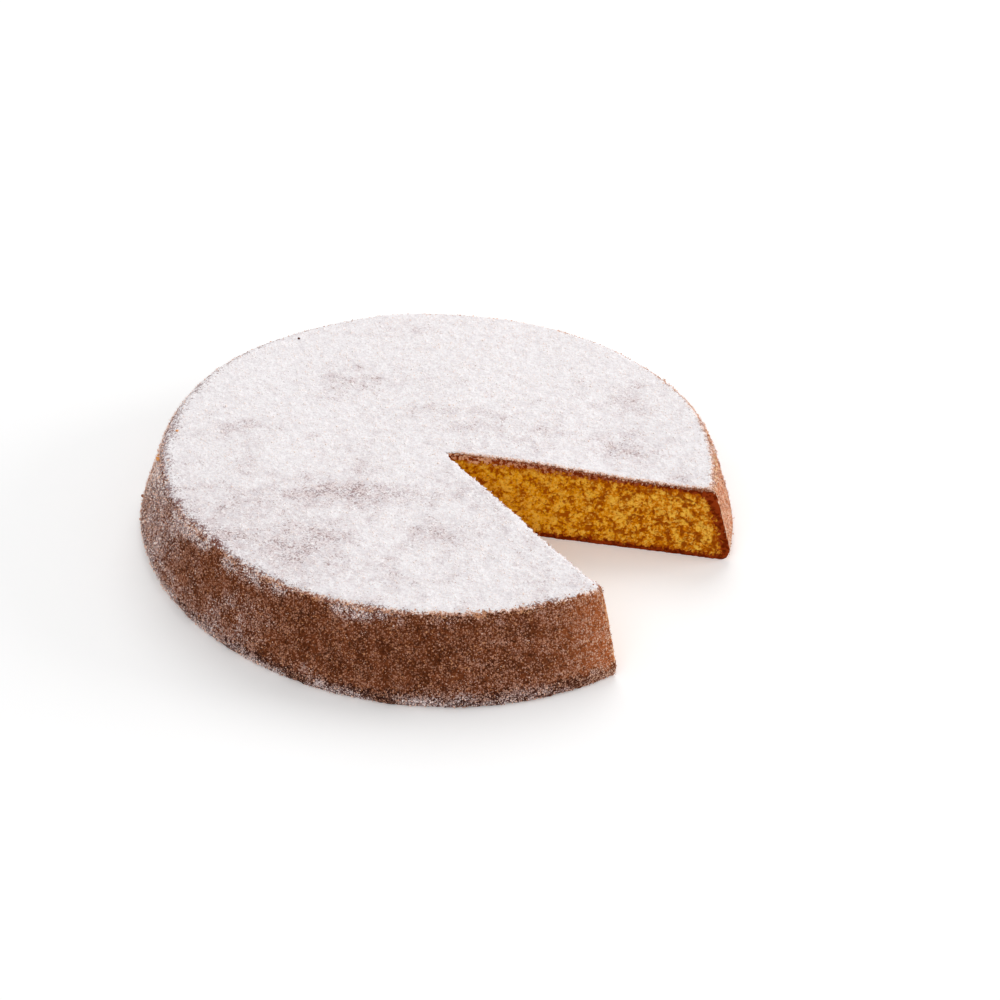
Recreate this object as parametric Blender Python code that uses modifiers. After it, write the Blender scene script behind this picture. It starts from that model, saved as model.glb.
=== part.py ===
"""A lemon caprese cake with one slice cut out and taken away.

It is a low round almond cake, baked in a flared tin and turned out upside down, so the flat top is the
face that lay on the tin's base and the wall spreads towards the table. The baked mouth of the tin is now
the underside, with its soft edge tucked in. The whole cake is one solid.

Metres, +Z up. The origin is on the table, under the middle of the cake's box.
"""

import math
from math import radians

import bmesh
import bpy
from mathutils import Vector

# Driving sizes.
WIDEST_RADIUS = 0.1200  # the mouth of the tin, a little above the table
TOP_RADIUS = 0.1097  # where the line of the wall would meet the top
BASE_RADIUS = 0.1177  # what stands on the table
HEIGHT = 0.0349
EDGE_ROUNDING = 0.0038  # the radius of the rim's soft edge
TUCK_HEIGHT = 0.0054  # below this the wall turns in towards the table

# The centre that the cake was turned on. Its wall is a little out of round, so this isn't the box's middle.
TURNED_CENTRE = Vector((0.0009, 0.0012, 0.0))

# The slice that was cut out: its point, and the two directions in which the knife went out from there.
SLICE_POINT = Vector((0.0030, -0.0011, 0.0))
NEAR_CUT_HEADING = radians(-57.4)
FAR_CUT_HEADING = radians(-11.9)

# How far the cake is from round and level, as lobes: (share of the size, lobes in a turn, heading of one).
TOP_LOBES = ((0.0103, 2, radians(-26.5)),)
BASE_LOBES = ((0.0067, 2, radians(-72.1)), (0.0147, 3, radians(41.3)))
HEIGHT_LOBES = ((0.0269, 1, radians(155.4)), (0.0034, 2, radians(13.3)))

# Low swells on the top: (height, length of a wave, heading).
TOP_SWELLS = (
    (0.00022, 0.083, radians(20)),
    (0.00018, 0.061, radians(105)),
    (0.00014, 0.047, radians(158)),
)

# Where the top sank as it cooled: (x, y, how far out it reaches, how deep).
TOP_SAGS = ((0.0920, -0.0190, 0.0320, 0.0023),)

# How finely the solid is faceted.
TURN_STEPS = 96
TOP_RINGS = 7
EDGE_RINGS = 4
WALL_RINGS = 4
TUCK_RINGS = 4
BASE_RINGS = 3

MERGE_DISTANCE = 0.0001
CUTTER_MARGIN = 0.01  # how far the cutter reaches past the cake on every side


def clear_scene():
    for old in list(bpy.data.objects):
        bpy.data.objects.remove(old, do_unlink=True)


def collection(name, shown=True):
    made = bpy.data.collections.new(name)
    made.hide_render = not shown
    bpy.context.scene.collection.children.link(made)
    return made


def material(name, colour, roughness):
    made = bpy.data.materials.new(name)
    made.use_nodes = True
    shader = made.node_tree.nodes["Principled BSDF"]
    shader.inputs["Base Color"].default_value = (*colour, 1.0)
    shader.inputs["Roughness"].default_value = roughness
    shader.inputs["Metallic"].default_value = 0.0
    return made


def sugar_material():
    return material("icing_sugar", (0.85, 0.80, 0.80), 0.95)


def crust_material():
    return material("baked_crust", (0.19, 0.07, 0.03), 0.80)


def crumb_material():
    return material("lemon_crumb", (0.55, 0.27, 0.05), 0.85)


def lobed(lobes, heading, spread=1.0):
    """What a size is multiplied by at this heading. A lobe fades towards the centre as spread goes to 0."""
    return 1 + sum(
        share * spread**count * math.cos(count * (heading - towards)) for share, count, towards in lobes
    )


def swell_at(x, y):
    """How far the top stands above or below its plane."""
    return sum(
        height * math.sin((x * math.cos(towards) + y * math.sin(towards)) * 2 * math.pi / length)
        for height, length, towards in TOP_SWELLS
    )


def sag_at(x, y):
    """How far the top has sunk."""
    return sum(
        depth * math.exp(-((x - middle_x) ** 2 + (y - middle_y) ** 2) / across**2)
        for middle_x, middle_y, across, depth in TOP_SAGS
    )


def spaced(start, end, steps):
    """Points from start to end, without the start."""
    return [start.lerp(end, step / steps) for step in range(1, steps + 1)]


def half_section():
    """The cake's outline in X and Z, from the middle of the top, over the rim, down the wall and back in."""
    top_middle = Vector((0, HEIGHT))
    base_middle = Vector((0, 0))
    widest = Vector((WIDEST_RADIUS, TUCK_HEIGHT))
    sharp_rim = Vector((TOP_RADIUS, HEIGHT))
    up_wall = (sharp_rim - widest).normalized()
    turn = up_wall.angle(Vector((-1, 0)))
    tangent = EDGE_ROUNDING * math.tan(turn / 2)
    edge_start = sharp_rim - Vector((tangent, 0))
    edge_centre = edge_start - Vector((0, EDGE_ROUNDING))
    edge_end = sharp_rim - up_wall * tangent

    points = [top_middle] + spaced(top_middle, edge_start, TOP_RINGS)
    for ring in range(1, EDGE_RINGS):
        angle = math.pi / 2 - turn * ring / EDGE_RINGS
        points.append(edge_centre + EDGE_ROUNDING * Vector((math.cos(angle), math.sin(angle))))
    points.append(edge_end)
    points += spaced(edge_end, widest, WALL_RINGS)
    for ring in range(1, TUCK_RINGS + 1):
        angle = math.pi / 2 * (1 - ring / TUCK_RINGS)
        reach = BASE_RADIUS + (WIDEST_RADIUS - BASE_RADIUS) * math.sin(angle)
        points.append(Vector((reach, TUCK_HEIGHT * (1 - math.cos(angle)))))
    points += spaced(points[-1], base_middle, BASE_RINGS)
    return points


def turned_mesh():
    """The round cake before it is cut: the half section, turned by a Screw modifier."""
    outline = bpy.data.meshes.new("half_section")
    points = half_section()
    edges = [(start, start + 1) for start in range(len(points) - 1)]
    outline.from_pydata([(point.x, 0, point.y) for point in points], edges, [])
    turned = bpy.data.objects.new("turned", outline)
    bpy.context.scene.collection.objects.link(turned)

    screw = turned.modifiers.new("Screw", "SCREW")
    screw.axis = "Z"
    screw.steps = screw.render_steps = TURN_STEPS
    screw.use_merge_vertices = True
    screw.merge_threshold = MERGE_DISTANCE

    bpy.context.view_layer.update()
    evaluated = turned.evaluated_get(bpy.context.evaluated_depsgraph_get())
    mesh = bpy.data.meshes.new_from_object(evaluated)
    bpy.data.objects.remove(turned)
    return mesh


def bake_uneven(mesh):
    """Moves the turned cake's points to where a real cake's are: out of round and of level, swelled and sunk."""
    for vertex in mesh.vertices:
        x, y, z = vertex.co
        heading = math.atan2(y, x)
        up = z / HEIGHT
        spread = min(math.hypot(x, y) / TOP_RADIUS, 1.0)
        wider = lobed(TOP_LOBES, heading) * up + lobed(BASE_LOBES, heading) * (1 - up)
        higher = lobed(HEIGHT_LOBES, heading, spread)
        above = (swell_at(x, y) - sag_at(x, y)) * up**8
        vertex.co = (x * wider, y * wider, z * higher + above)


def slice_cutter(cutters, crumb):
    """A closed wedge that stands where the missing slice was."""
    reach = WIDEST_RADIUS / math.cos((FAR_CUT_HEADING - NEAR_CUT_HEADING) / 2) + CUTTER_MARGIN
    outline = bpy.data.curves.new("slice_outline", "CURVE")
    outline.dimensions = "2D"
    outline.fill_mode = "BOTH"
    outline.extrude = HEIGHT / 2 + CUTTER_MARGIN
    spline = outline.splines.new("POLY")
    corners = [SLICE_POINT]
    for heading in (NEAR_CUT_HEADING, FAR_CUT_HEADING):
        corners.append(SLICE_POINT + reach * Vector((math.cos(heading), math.sin(heading), 0)))
    spline.points.add(len(corners) - 1)
    for point, corner in zip(spline.points, corners):
        point.co = (corner.x, corner.y, 0, 1)
    spline.use_cyclic_u = True
    flat = bpy.data.objects.new("slice_outline", outline)
    bpy.context.scene.collection.objects.link(flat)

    bpy.context.view_layer.update()
    evaluated = flat.evaluated_get(bpy.context.evaluated_depsgraph_get())
    mesh = bpy.data.meshes.new_from_object(evaluated)
    bpy.data.objects.remove(flat)
    shape = bmesh.new()
    shape.from_mesh(mesh)
    bmesh.ops.remove_doubles(shape, verts=shape.verts, dist=MERGE_DISTANCE)
    bmesh.ops.recalc_face_normals(shape, faces=shape.faces)
    shape.to_mesh(mesh)
    shape.free()
    mesh.materials.clear()
    mesh.materials.append(crumb)

    cutter = bpy.data.objects.new("slice_cutter", mesh)
    cutter.location = TURNED_CENTRE + Vector((0, 0, HEIGHT / 2))
    cutter.hide_render = True
    cutter.display_type = "WIRE"
    cutters.objects.link(cutter)
    return cutter


def give_surfaces(mesh, sugar, crust):
    """Sugar on what faces up, crust on the wall and the underside."""
    mesh.materials.clear()
    mesh.materials.append(sugar)
    mesh.materials.append(crust)
    for face in mesh.polygons:
        face.material_index = 0 if face.normal.z > math.cos(radians(50)) else 1


def make_cake(shown, cutters):
    sugar, crust, crumb = sugar_material(), crust_material(), crumb_material()
    mesh = turned_mesh()
    bake_uneven(mesh)
    mesh.update()
    give_surfaces(mesh, sugar, crust)
    mesh.shade_smooth()
    mesh.set_sharp_from_angle(angle=radians(40))
    cake = bpy.data.objects.new("cake", mesh)
    cake.location = TURNED_CENTRE
    shown.objects.link(cake)

    cut = cake.modifiers.new("Slice taken out", "BOOLEAN")
    cut.operation = "DIFFERENCE"
    cut.solver = "EXACT"
    cut.material_mode = "TRANSFER"
    cut.object = slice_cutter(cutters, crumb)
    return cake


def main():
    clear_scene()
    shown = collection("lemon_caprese_cake")
    cutters = collection("cutters", shown=False)
    make_cake(shown, cutters)
    bpy.context.view_layer.update()


main()
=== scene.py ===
"""The looks of a lemon caprese cake with one slice cut out: crust, crumb and icing sugar, on a pale table.

Everything is in metres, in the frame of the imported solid. The cake's shape is worked out here from the
same sizes as the solid's, at a much finer step, and the relief of a real cake is added to it.
"""

import math
from math import radians

import bpy
import numpy as np
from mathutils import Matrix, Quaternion, Vector, noise
from mathutils.geometry import delaunay_2d_cdt


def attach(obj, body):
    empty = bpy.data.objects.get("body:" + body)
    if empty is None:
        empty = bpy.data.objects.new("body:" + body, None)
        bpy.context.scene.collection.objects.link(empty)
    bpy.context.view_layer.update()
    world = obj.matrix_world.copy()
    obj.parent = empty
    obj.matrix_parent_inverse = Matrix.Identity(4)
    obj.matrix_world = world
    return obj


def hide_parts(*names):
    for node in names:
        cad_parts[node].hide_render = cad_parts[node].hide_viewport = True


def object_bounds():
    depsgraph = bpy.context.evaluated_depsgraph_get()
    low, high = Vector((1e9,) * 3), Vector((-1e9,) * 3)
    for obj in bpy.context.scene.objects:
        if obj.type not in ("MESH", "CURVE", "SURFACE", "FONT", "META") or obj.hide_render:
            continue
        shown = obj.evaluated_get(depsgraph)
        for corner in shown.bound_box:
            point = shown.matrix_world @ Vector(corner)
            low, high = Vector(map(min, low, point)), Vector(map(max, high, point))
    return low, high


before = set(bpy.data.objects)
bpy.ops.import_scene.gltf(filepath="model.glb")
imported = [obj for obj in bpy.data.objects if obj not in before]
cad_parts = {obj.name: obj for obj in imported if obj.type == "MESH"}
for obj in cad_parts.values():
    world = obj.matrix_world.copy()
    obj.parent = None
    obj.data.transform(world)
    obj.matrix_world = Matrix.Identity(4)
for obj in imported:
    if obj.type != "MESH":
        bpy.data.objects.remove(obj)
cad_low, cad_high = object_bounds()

MM = 0.001

# -------- the cake's own sizes

WIDEST_RADIUS = 120.0 * MM
TOP_RADIUS = 109.7 * MM
BASE_RADIUS = 117.7 * MM
HEIGHT = 34.9 * MM
EDGE_ROUNDING = 3.8 * MM
TUCK_HEIGHT = 5.4 * MM

TURNED_CENTRE = np.array([0.9 * MM, 1.2 * MM, 0.0])
SLICE_POINT = np.array([3.0 * MM, -1.1 * MM])
NEAR_CUT_HEADING = radians(-57.4)
FAR_CUT_HEADING = radians(-11.9)

# Lobes: (share of the size, how many in a turn, heading of one). Swells: (height, wave length, heading).
TOP_LOBES = ((0.0103, 2, radians(-26.5)),)
BASE_LOBES = ((0.0067, 2, radians(-72.1)), (0.0147, 3, radians(41.3)))
HEIGHT_LOBES = ((0.0269, 1, radians(155.4)), (0.0034, 2, radians(13.3)))
TOP_SWELLS = (
    (0.22 * MM, 83 * MM, radians(20)),
    (0.18 * MM, 61 * MM, radians(105)),
    (0.14 * MM, 47 * MM, radians(158)),
)

# Where the wall caught more sugar, or less: (x, y and z, how far out it reaches, how much more).
WALL_DRIFTS = (
    ((-96.0 * MM, -57.0 * MM, 20.0 * MM), 15.0 * MM, -0.25),
    ((-76.0 * MM, -86.0 * MM, 15.0 * MM), 19.0 * MM, 0.25),
)

# Where the top sank as it cooled: (x, y, how far out it reaches, how deep).
TOP_SAGS = ((92.0 * MM, -19.0 * MM, 32.0 * MM, 2.3 * MM),)

# The near cut's edge crumbled back this far from the knife's line.
NEAR_CRUMBLED = 0.9 * MM

# How rubbed the crust is along the cuts and under the sugar, from 0 to 1. It also paints light onto the
# crust's ledge under the sugar's edge, where shade falls.
EDGE_WORN_AND_LIT = 0.6

# Where the sugar lies thin on the top: (x, y, half length, half width, how thin), in millimetres.
THIN_PATCHES = (
    (-26, 56, 27, 11, 0.85),
    (-32, -30, 26, 8, 1.0),
    (1, -57, 11, 8, 0.8),
    (-49, -67, 14, 13, 0.7),
    (75, 6, 13, 14, 0.8),
    (80, 44, 9, 14, 0.7),
    (46, 12, 6, 8, 0.5),
    (17, 26, 10, 5, 0.4),
    (-16, 94, 18, 9, 0.75),
    (-81, 17, 12, 11, 0.5),
    (-27, -13, 7, 9, 0.6),
    (-84, -59, 13, 13, 0.6),
)

# How finely the pieces are meshed.
WALL_COLUMNS = 720
WALL_ROWS = 72
CUT_COLUMNS = 230
CAP_STEP = 4.0 * MM
SUGAR_STEP = 0.69 * MM
SUGAR_EDGE_STEP = 0.6 * MM

# How many loose lumps there are of each kind.
WALL_GRAINS = 23000
CUT_EDGE_GRAINS = 650
TOP_CLUMPS = 18000
RIM_CRUMBS = 2600
CORNER_CRUMBS = 140
CUT_EDGE_CRUMBS = 650

# Lumps are out of shape by up to this share. They reach this far, and their middles are lifted off the
# surface this far, as shares of their width. They stray this far along it from the points they are set on.
UNEVEN = 0.3
LUMP_REACH = (1 + UNEVEN) / 2
LIFTED = 0.1
STRAY = 0.25 * MM

CUTS = {"far": FAR_CUT_HEADING, "near": NEAR_CUT_HEADING + math.tau}


# -------- the baked shape


def lobed(lobes, heading, spread=1.0):
    """What a size is multiplied by at this heading. A lobe fades towards the centre as spread goes to 0."""
    return 1 + sum(
        share * spread**count * np.cos(count * (heading - towards)) for share, count, towards in lobes
    )


def swell_at(x, y):
    """How far the top stands above or below its plane."""
    return sum(
        height * np.sin((x * math.cos(towards) + y * math.sin(towards)) * math.tau / length)
        for height, length, towards in TOP_SWELLS
    )


def sag_at(x, y):
    """How far the top has sunk."""
    return sum(
        depth * np.exp(-((x - middle_x) ** 2 + (y - middle_y) ** 2) / across**2)
        for middle_x, middle_y, across, depth in TOP_SAGS
    )


def baked(x, y, z):
    """Where a point of a truly round cake is on the real one, a little out of round and out of level."""
    heading = np.arctan2(y, x)
    up = z / HEIGHT
    spread = np.minimum(np.hypot(x, y) / TOP_RADIUS, 1.0)
    wider = lobed(TOP_LOBES, heading) * up + lobed(BASE_LOBES, heading) * (1 - up)
    higher = lobed(HEIGHT_LOBES, heading, spread)
    above = (swell_at(x, y) - sag_at(x, y)) * up**8
    placed = np.stack([x * wider, y * wider, z * higher + above], axis=-1)
    return placed + TURNED_CENTRE


def rim_geometry():
    """The rounded rim: where it starts on the top, the middle of its arc, and how far it turns."""
    up_wall = Vector((TOP_RADIUS - WIDEST_RADIUS, HEIGHT - TUCK_HEIGHT)).normalized()
    turn = up_wall.angle(Vector((-1, 0)))
    start_radius = TOP_RADIUS - EDGE_ROUNDING * math.tan(turn / 2)
    return start_radius, HEIGHT - EDGE_ROUNDING, turn


RIM_RADIUS, RIM_ARC_HEIGHT, RIM_TURN = rim_geometry()


def wall_section(rows):
    """Evenly spaced points up the wall, from the foot to the top: radius, height and outward normal."""
    tuck = np.linspace(0, math.pi / 2, 40)
    arc = np.linspace(math.pi / 2 - RIM_TURN, math.pi / 2, 40)
    tuck_radius = BASE_RADIUS + (WIDEST_RADIUS - BASE_RADIUS) * np.sin(tuck)
    tuck_height = TUCK_HEIGHT * (1 - np.cos(tuck))
    radius = np.concatenate([tuck_radius, RIM_RADIUS + EDGE_ROUNDING * np.cos(arc)])
    height = np.concatenate([tuck_height, RIM_ARC_HEIGHT + EDGE_ROUNDING * np.sin(arc)])
    along = np.concatenate([[0], np.cumsum(np.hypot(np.diff(radius), np.diff(height)))])
    even = np.linspace(0, along[-1], rows + 1)
    radius = np.interp(even, along, radius)
    height = np.interp(even, along, height)
    radius_step = np.gradient(radius)
    height_step = np.gradient(height)
    length = np.hypot(radius_step, height_step)
    return radius, height, height_step / length, -radius_step / length


def reach(heading, radius):
    """How far it is from the slice's point, in this direction, to a circle round the cake's centre."""
    along = SLICE_POINT[0] * np.cos(heading) + SLICE_POINT[1] * np.sin(heading)
    return -along + np.sqrt(along**2 - SLICE_POINT @ SLICE_POINT + radius**2)


def from_slice_point(heading, distance):
    """The x and y of a place this far from the slice's point."""
    return SLICE_POINT[0] + distance * np.cos(heading), SLICE_POINT[1] + distance * np.sin(heading)


# -------- relief

# These turn the place of a cell's middle into a number from 0 to 1 that looks like chance.
CELL_SCRAMBLE = np.array([12.99, 78.23, 37.72])
CELL_SPREAD = 43758.5


def sampled(points, size, pattern, shift=0.0):
    """The pattern's value at each point, with features of about this size."""
    return np.array([pattern(Vector(point)) for point in points / size + shift])


def lumps(points, size, shift=0.0):
    """Soft noise from about -1 to 1."""
    return sampled(points, size, noise.noise, shift)


def rough(points, size, octaves=3, shift=0.0):
    """Noise with finer noise on it, from about -1 to 1."""
    return sampled(points, size, lambda point: noise.fractal(point, 0.7, 2.1, octaves), shift)


def cells(points, size, shift=0.0):
    """How far each point is from the nearest grain's middle and from the next, and the nearest's number."""
    found = [noise.voronoi(Vector(point)) for point in points / size + shift]
    nearest = np.array([distances[0] for distances, _ in found])
    second = np.array([distances[1] for distances, _ in found])
    middles = np.array([places[0][:] for _, places in found])
    scrambled = np.sin(middles @ CELL_SCRAMBLE) * CELL_SPREAD
    return nearest, second, np.modf(np.abs(scrambled))[0]


def eased(value, low, high):
    """0 below low, 1 above high, and a smooth rise between."""
    share = np.clip((value - low) / (high - low), 0, 1)
    return share * share * (3 - 2 * share)


# -------- meshes


def mesh_piece(name, points, faces, materials, face_materials=None, values=None):
    """A smooth-shaded mesh object, with a value for each point under each name in values."""
    mesh = bpy.data.meshes.new(name)
    mesh.from_pydata(points.tolist(), [], [list(face) for face in faces])
    for finish in materials:
        mesh.materials.append(finish)
    if face_materials is not None:
        mesh.polygons.foreach_set("material_index", np.asarray(face_materials, np.int32))
    for value_name, numbers in (values or {}).items():
        attribute = mesh.attributes.new(value_name, "FLOAT", "POINT")
        attribute.data.foreach_set("value", np.asarray(numbers, np.float32))
    mesh.update()
    mesh.shade_smooth()
    piece = bpy.data.objects.new(name, mesh)
    bpy.context.scene.collection.objects.link(piece)
    return piece


def grid_faces(indices, flipped=False):
    """Four-sided faces between neighbouring rows and columns of an array of point numbers."""
    low_left, low_right = indices[:-1, :-1], indices[1:, :-1]
    high_left, high_right = indices[:-1, 1:], indices[1:, 1:]
    order = [low_left, low_right, high_right, high_left]
    if flipped:
        order.reverse()
    return np.stack([corner.ravel() for corner in order], axis=1)


def filled_outline(outline, inside):
    """Triangles that fill a counter-clockwise outline and use the inner points. Both are in X and Y, in
    millimetres; the triangles number the outline's points first, then the inner ones."""
    points = [Vector(point) for point in np.concatenate([outline, inside]).tolist()]
    edge = list(range(len(outline)))
    _, _, faces, origins, _, _ = delaunay_2d_cdt(points, [], [edge], 1, 1e-6)
    return [[origins[corner][0] for corner in face] for face in faces]


def spread_points(step, radius, from_cuts):
    """Points in even triangles over the round top, at least from_cuts inside both cuts."""
    rows = np.arange(-radius, radius, step * math.sqrt(3) / 2)
    columns = np.arange(-radius, radius, step)
    x, y = np.meshgrid(columns, rows)
    x = x + (np.arange(len(rows)) % 2)[:, None] * step / 2
    x, y = x.ravel(), y.ravel()
    kept = (np.hypot(x, y) < radius) & (inside_cuts(x, y) > from_cuts)
    return x[kept], y[kept]


def inside_cuts(x, y):
    """How far a point is inside the cake from the nearer cut, below 0 in the slice's space."""
    x = x - SLICE_POINT[0]
    y = y - SLICE_POINT[1]
    from_far = y * math.cos(FAR_CUT_HEADING) - x * math.sin(FAR_CUT_HEADING)
    from_near = x * math.sin(NEAR_CUT_HEADING) - y * math.cos(NEAR_CUT_HEADING)
    return np.maximum(from_far, from_near - NEAR_CRUMBLED)


# -------- finishes


class Amount:
    """A number that a node gives. Arithmetic on it adds Math nodes to the same finish."""

    def __init__(self, finish, socket):
        self.finish = finish
        self.socket = socket

    def worked(self, operation, first, second):
        return self.finish.node("ShaderNodeMath", {"operation": operation}, {0: first, 1: second})

    def __add__(self, other):
        return self.worked("ADD", self, other)

    def __radd__(self, other):
        return self.worked("ADD", other, self)

    def __sub__(self, other):
        return self.worked("SUBTRACT", self, other)

    def __rsub__(self, other):
        return self.worked("SUBTRACT", other, self)

    def __mul__(self, other):
        return self.worked("MULTIPLY", self, other)

    def __rmul__(self, other):
        return self.worked("MULTIPLY", other, self)

    def between(self, low, high):
        """0 at low, 1 at high, with a smooth rise."""
        settings = {"interpolation_type": "SMOOTHSTEP"}
        sockets = {"Value": self, "From Min": low, "From Max": high}
        return self.finish.node("ShaderNodeMapRange", settings, sockets)


class Finish:
    """A material that is built up node by node from where each point is on the cake."""

    def __init__(self, name, specular):
        self.material = bpy.data.materials.new(name)
        self.material.use_nodes = True
        self.tree = self.material.node_tree
        self.shader = self.tree.nodes["Principled BSDF"]
        self.shader.inputs["Specular IOR Level"].default_value = specular
        self.place = self.node("ShaderNodeTexCoord", output="Object")
        self.colour = None

    def node(self, kind, settings=None, sockets=None, output=0):
        """Adds a node: its settings first, then its sockets, each set to a value or linked."""
        made = self.tree.nodes.new(kind)
        for name, value in (settings or {}).items():
            if name == "stops":
                self.set_stops(made.color_ramp, value)
            else:
                setattr(made, name, value)
        for name, value in (sockets or {}).items():
            self.feed(made.inputs[name], value)
        return Amount(self, made.outputs[output])

    def set_stops(self, ramp, stops):
        while len(ramp.elements) < len(stops):
            ramp.elements.new(1.0)
        for element, (position, colour) in zip(ramp.elements, stops):
            element.position = position
            element.color = (*srgb(*colour), 1.0)

    def feed(self, socket, value):
        """Links or sets a socket. Three numbers for a colour are its levels on a screen, from 0 to 255."""
        if isinstance(value, Amount):
            self.tree.links.new(value.socket, socket)
        elif isinstance(value, tuple) and len(value) == 3 and socket.type == "RGBA":
            socket.default_value = (*srgb(*value), 1.0)
        else:
            socket.default_value = value

    def set(self, name, value):
        self.feed(self.shader.inputs[name], value)

    def known(self, *names):
        """The values that the mesh holds for each point under these names."""
        return [self.node("ShaderNodeAttribute", {"attribute_name": name}, output=2) for name in names]

    def noise(self, size, detail=2.0, roughness=0.55, place=None):
        """Soft noise with features of about this size. Most of it lies near 0.5."""
        sockets = {
            "Vector": place or self.place,
            "Scale": 1 / size,
            "Detail": detail,
            "Roughness": roughness,
        }
        return self.node("ShaderNodeTexNoise", None, sockets)

    def stretched(self, x, y, z):
        """The place, with each direction multiplied, so that patterns come out long or short."""
        sockets = {0: self.place, 1: (x, y, z)}
        return self.node("ShaderNodeVectorMath", {"operation": "MULTIPLY"}, sockets)

    def grains(self, size):
        """How far each point is from the middle of its grain, and a number of the grain's own."""
        sockets = {"Vector": self.place, "Scale": 1 / size}
        distance = self.node("ShaderNodeTexVoronoi", None, sockets)
        colour = Amount(self, distance.socket.node.outputs["Color"])
        number = self.node("ShaderNodeSeparateColor", None, {0: colour})
        return distance, number

    def mix(self, share, first, second):
        """The first colour, going over to the second as share goes to 1."""
        sockets = {0: share, 6: first, 7: second}
        return self.node("ShaderNodeMix", {"data_type": "RGBA"}, sockets, output=2)

    def paint(self, share, colour):
        """Takes the finish's own colour over to this one as share goes to 1."""
        self.colour = self.mix(share, self.colour, colour)

    def bump(self, height, depth, strength=1.0):
        sockets = {"Height": height, "Distance": depth, "Strength": strength}
        self.set("Normal", self.node("ShaderNodeBump", None, sockets))

    def done(self, roughness, glow=0.0):
        """The finished material. A little glow stands in for light that comes through sugar."""
        self.set("Base Color", self.colour)
        self.set("Roughness", roughness)
        if glow:
            self.set("Emission Color", self.colour)
            self.set("Emission Strength", glow)
        return self.material


def srgb(red, green, blue):
    """A colour in the shader's terms, from its levels on a screen."""
    return tuple(
        (level / 255 / 12.92) if level < 10.3 else ((level / 255 + 0.055) / 1.055) ** 2.4
        for level in (red, green, blue)
    )


def crust_finish():
    """Brown baked crust, dark at the foot and rubbed pale at the rim, under a fine dusting of icing sugar.
    """
    finish = Finish("baked_crust", specular=0.03)
    height, drift, pale, worn = finish.known("height", "drift", "pale", "worn")
    tone = finish.noise(6 * MM, 3.0)
    finish.colour = finish.mix(tone.between(0.3, 0.7), (77, 35, 15), (108, 54, 28))
    # Painted light: the crust goes paler round to the right, partly a paler bake and partly the light that
    # falls on that side.
    finish.paint(pale.between(0.0, 0.42) * 0.8, (190, 104, 58))
    finish.paint(pale.between(0.5, 1.0) * 0.9, (206, 116, 66))
    fine = finish.noise(0.9 * MM, 3.0, 0.65)
    finish.paint(fine.between(0.42, 0.66) * 0.45, (152, 84, 46))
    dark = finish.noise(1.2 * MM, 2.0, 0.6)
    deep = finish.mix(pale, (48, 18, 6), (116, 56, 30))
    finish.paint(dark.between(0.51, 0.64) * 0.6, deep)

    wavy = finish.noise(4 * MM, 3.0) - 0.5
    foot_height = height + wavy * (9.0 * MM) + (fine - 0.5) * (8.0 * MM)
    foot = 1 - foot_height.between(5.4 * MM, 7.8 * MM)
    finish.paint(foot * (0.85 - 0.5 * pale), (44, 17, 13))
    rubbed = (worn + (fine - 0.5) * 4.0).between(0.4, 0.75)
    rubbed_colour = finish.mix(pale, (226, 164, 120), (242, 196, 150))
    finish.paint(rubbed * 0.85, rubbed_colour)

    wisps = finish.noise(1.8 * MM, 5.0, 0.75, finish.stretched(1.0, 1.0, 1.6))
    streaks = finish.noise(1.9 * MM, 4.0, 0.75, finish.stretched(1.0, 1.0, 0.4))
    haze = wisps * 0.5 + streaks * 0.5
    gathered = finish.noise(3.4 * MM, 3.0, 0.6, finish.stretched(1.0, 1.0, 0.6))
    # The sugar's veil and specks are denser where more sugar drifted; on the left side this is partly
    # painted light and sheen.
    veil = haze.between(0.56 - 0.14 * drift, 0.62 - 0.11 * drift)
    veil = veil * (0.4 + 0.6 * gathered.between(0.43, 0.57))
    sugary = drift.between(0.25, 0.9)
    veil_colour = finish.mix(sugary, (192, 138, 118), (202, 164, 164))
    finish.paint(veil * (0.05 + 0.4 * drift), veil_colour)
    # The dust and its specks are painted lighter and denser on the paler right side, which carries that
    # side's painted light too.
    warm_dust = finish.mix(pale.between(0.0, 0.7), (208, 148, 120), (255, 224, 198))
    dust = finish.mix(sugary, warm_dust, (250, 231, 228))
    rare = 0.66 + (0.5 - gathered) * 2.0 - 0.36 * drift - 0.26 * pale
    distance, number = finish.grains(0.85 * MM)
    coarse = distance.between(0.6, 0.25) * number.between(rare, rare + 0.08)
    finish.paint(coarse * (0.5 + 0.6 * drift + 0.35 * pale), dust)
    distance, number = finish.grains(0.48 * MM)
    specks = distance.between(0.6, 0.3) * number.between(rare + 0.08, rare + 0.16)
    finish.paint(specks * (0.43 + 0.4 * drift + 0.2 * pale), dust)
    bared = finish.noise(1.5 * MM, 4.0, 0.8, finish.stretched(1.0, 1.0, 0.6))
    bared = bared.between(0.52, 0.57) * drift.between(0.3, 0.75)
    finish.paint(bared * 0.62, (84, 44, 36))
    finish.bump(finish.noise(0.7 * MM, 3.0, 0.7) + 0.4 * coarse, 0.5 * MM)
    return finish.done(0.8 + 0.12 * specks)


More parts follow.
